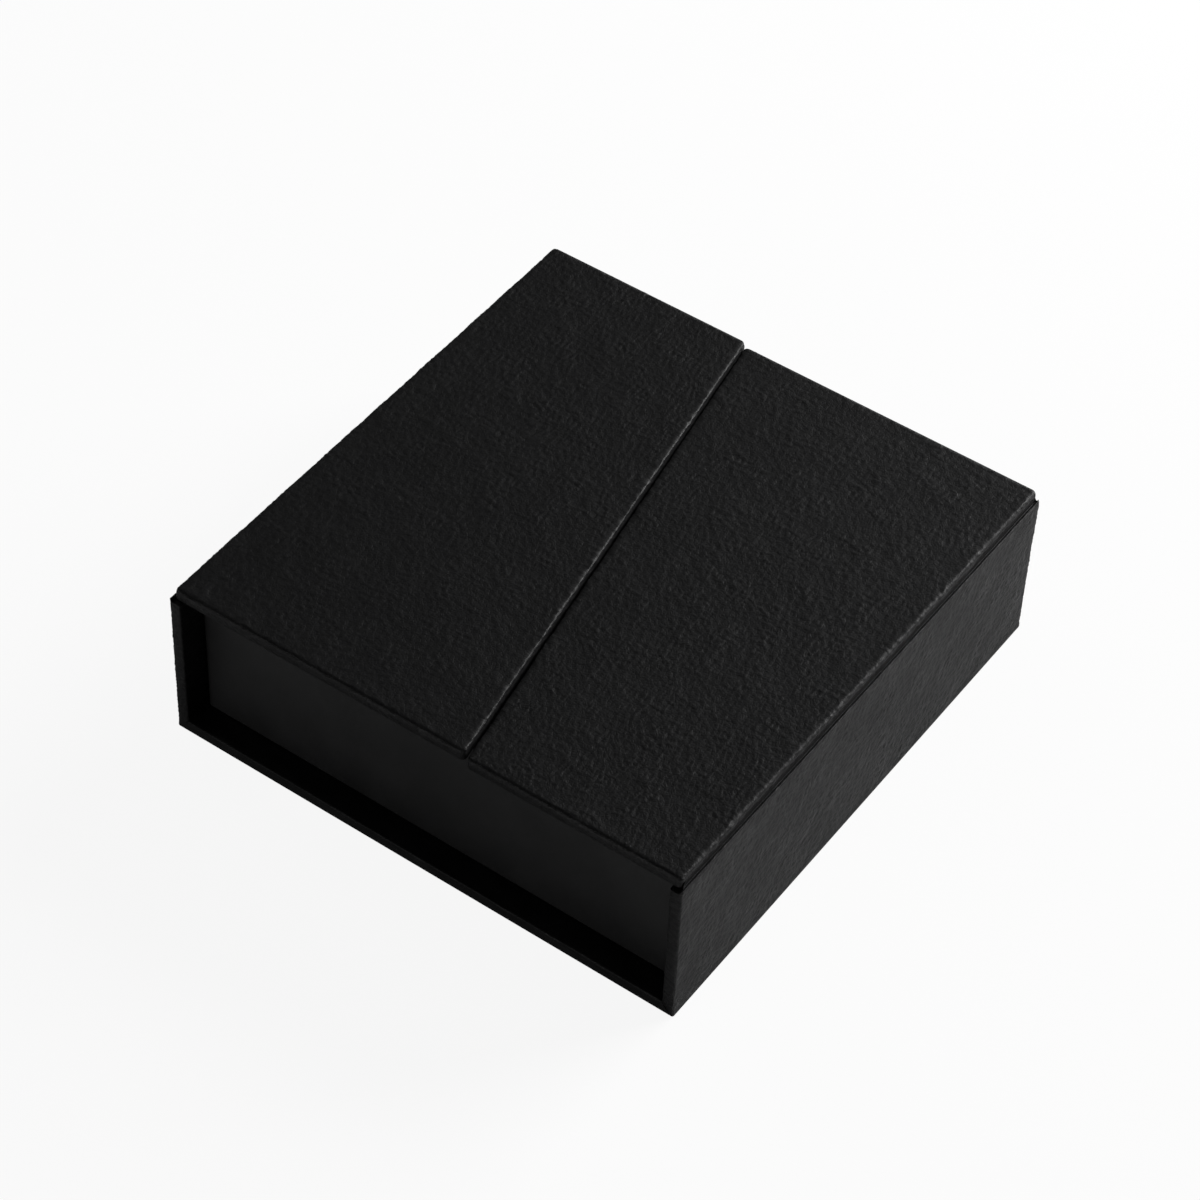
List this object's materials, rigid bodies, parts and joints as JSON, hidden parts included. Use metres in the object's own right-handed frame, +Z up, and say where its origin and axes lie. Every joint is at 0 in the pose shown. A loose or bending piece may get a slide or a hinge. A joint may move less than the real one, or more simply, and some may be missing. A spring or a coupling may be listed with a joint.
{
  "type": "jewellery gift box",
  "caption": "Square rigid gift box in black leatherette: two doors hinged on the long sides meet at a slanted split over a velvet-lined well.",
  "frame": {"origin": "middle of the underside of the base", "axes": "+Z up, +X from the left door to the right door, -Y towards the front end"},
  "size_m": [0.1, 0.104, 0.0336],
  "materials": {
    "black_leatherette": "embossed pebble grain, soft gloss",
    "greyboard": "raw matt",
    "black_paper": "smooth matt",
    "black_card": "smooth matt",
    "black_velvet": "short pile",
    "grey_foam": "open-cell foam",
    "nickel_plate": "bright nickel",
    "zinc_plated_steel": "satin zinc"
  },
  "bodies": {
    "case": {"case_wrap": "black_leatherette", "base_board": "greyboard", "left_side_board": "greyboard", "right_side_board": "greyboard", "left_hinge_crease": "black_leatherette", "right_hinge_crease": "black_leatherette", "left_hinge_lining": "black_paper", "right_hinge_lining": "black_paper", "tray_wrap": "black_paper", "tray_board": "greyboard", "insert_platform": "black_card", "rim_board": "greyboard", "rim_velvet": "black_velvet", "pad_foam": "grey_foam", "pad_velvet": "black_velvet", "left_keeper_disc_front": "zinc_plated_steel", "left_keeper_disc_back": "zinc_plated_steel", "right_keeper_disc_front": "zinc_plated_steel", "right_keeper_disc_back": "zinc_plated_steel"},
    "left_door": {"left_door_wrap": "black_leatherette", "left_door_board": "greyboard", "left_door_liner": "black_paper", "left_door_magnet_front": "nickel_plate", "left_door_magnet_back": "nickel_plate"},
    "right_door": {"right_door_wrap": "black_leatherette", "right_door_board": "greyboard", "right_door_liner": "black_paper", "right_door_magnet_front": "nickel_plate", "right_door_magnet_back": "nickel_plate"}
  },
  "joints": [
    {"name": "left_door_hinge", "type": "hinge", "parent": "case", "child": "left_door", "pos_m": [-0.05, 0, 0.03045], "axis": [0, -1, 0], "range_deg": [0, 180], "deforming": ["left_hinge_crease", "left_hinge_lining"]},
    {"name": "right_door_hinge", "type": "hinge", "parent": "case", "child": "right_door", "pos_m": [0.05, 0, 0.03045], "axis": [0, 1, 0], "range_deg": [0, 180], "deforming": ["right_hinge_crease", "right_hinge_lining"]}
  ]
}
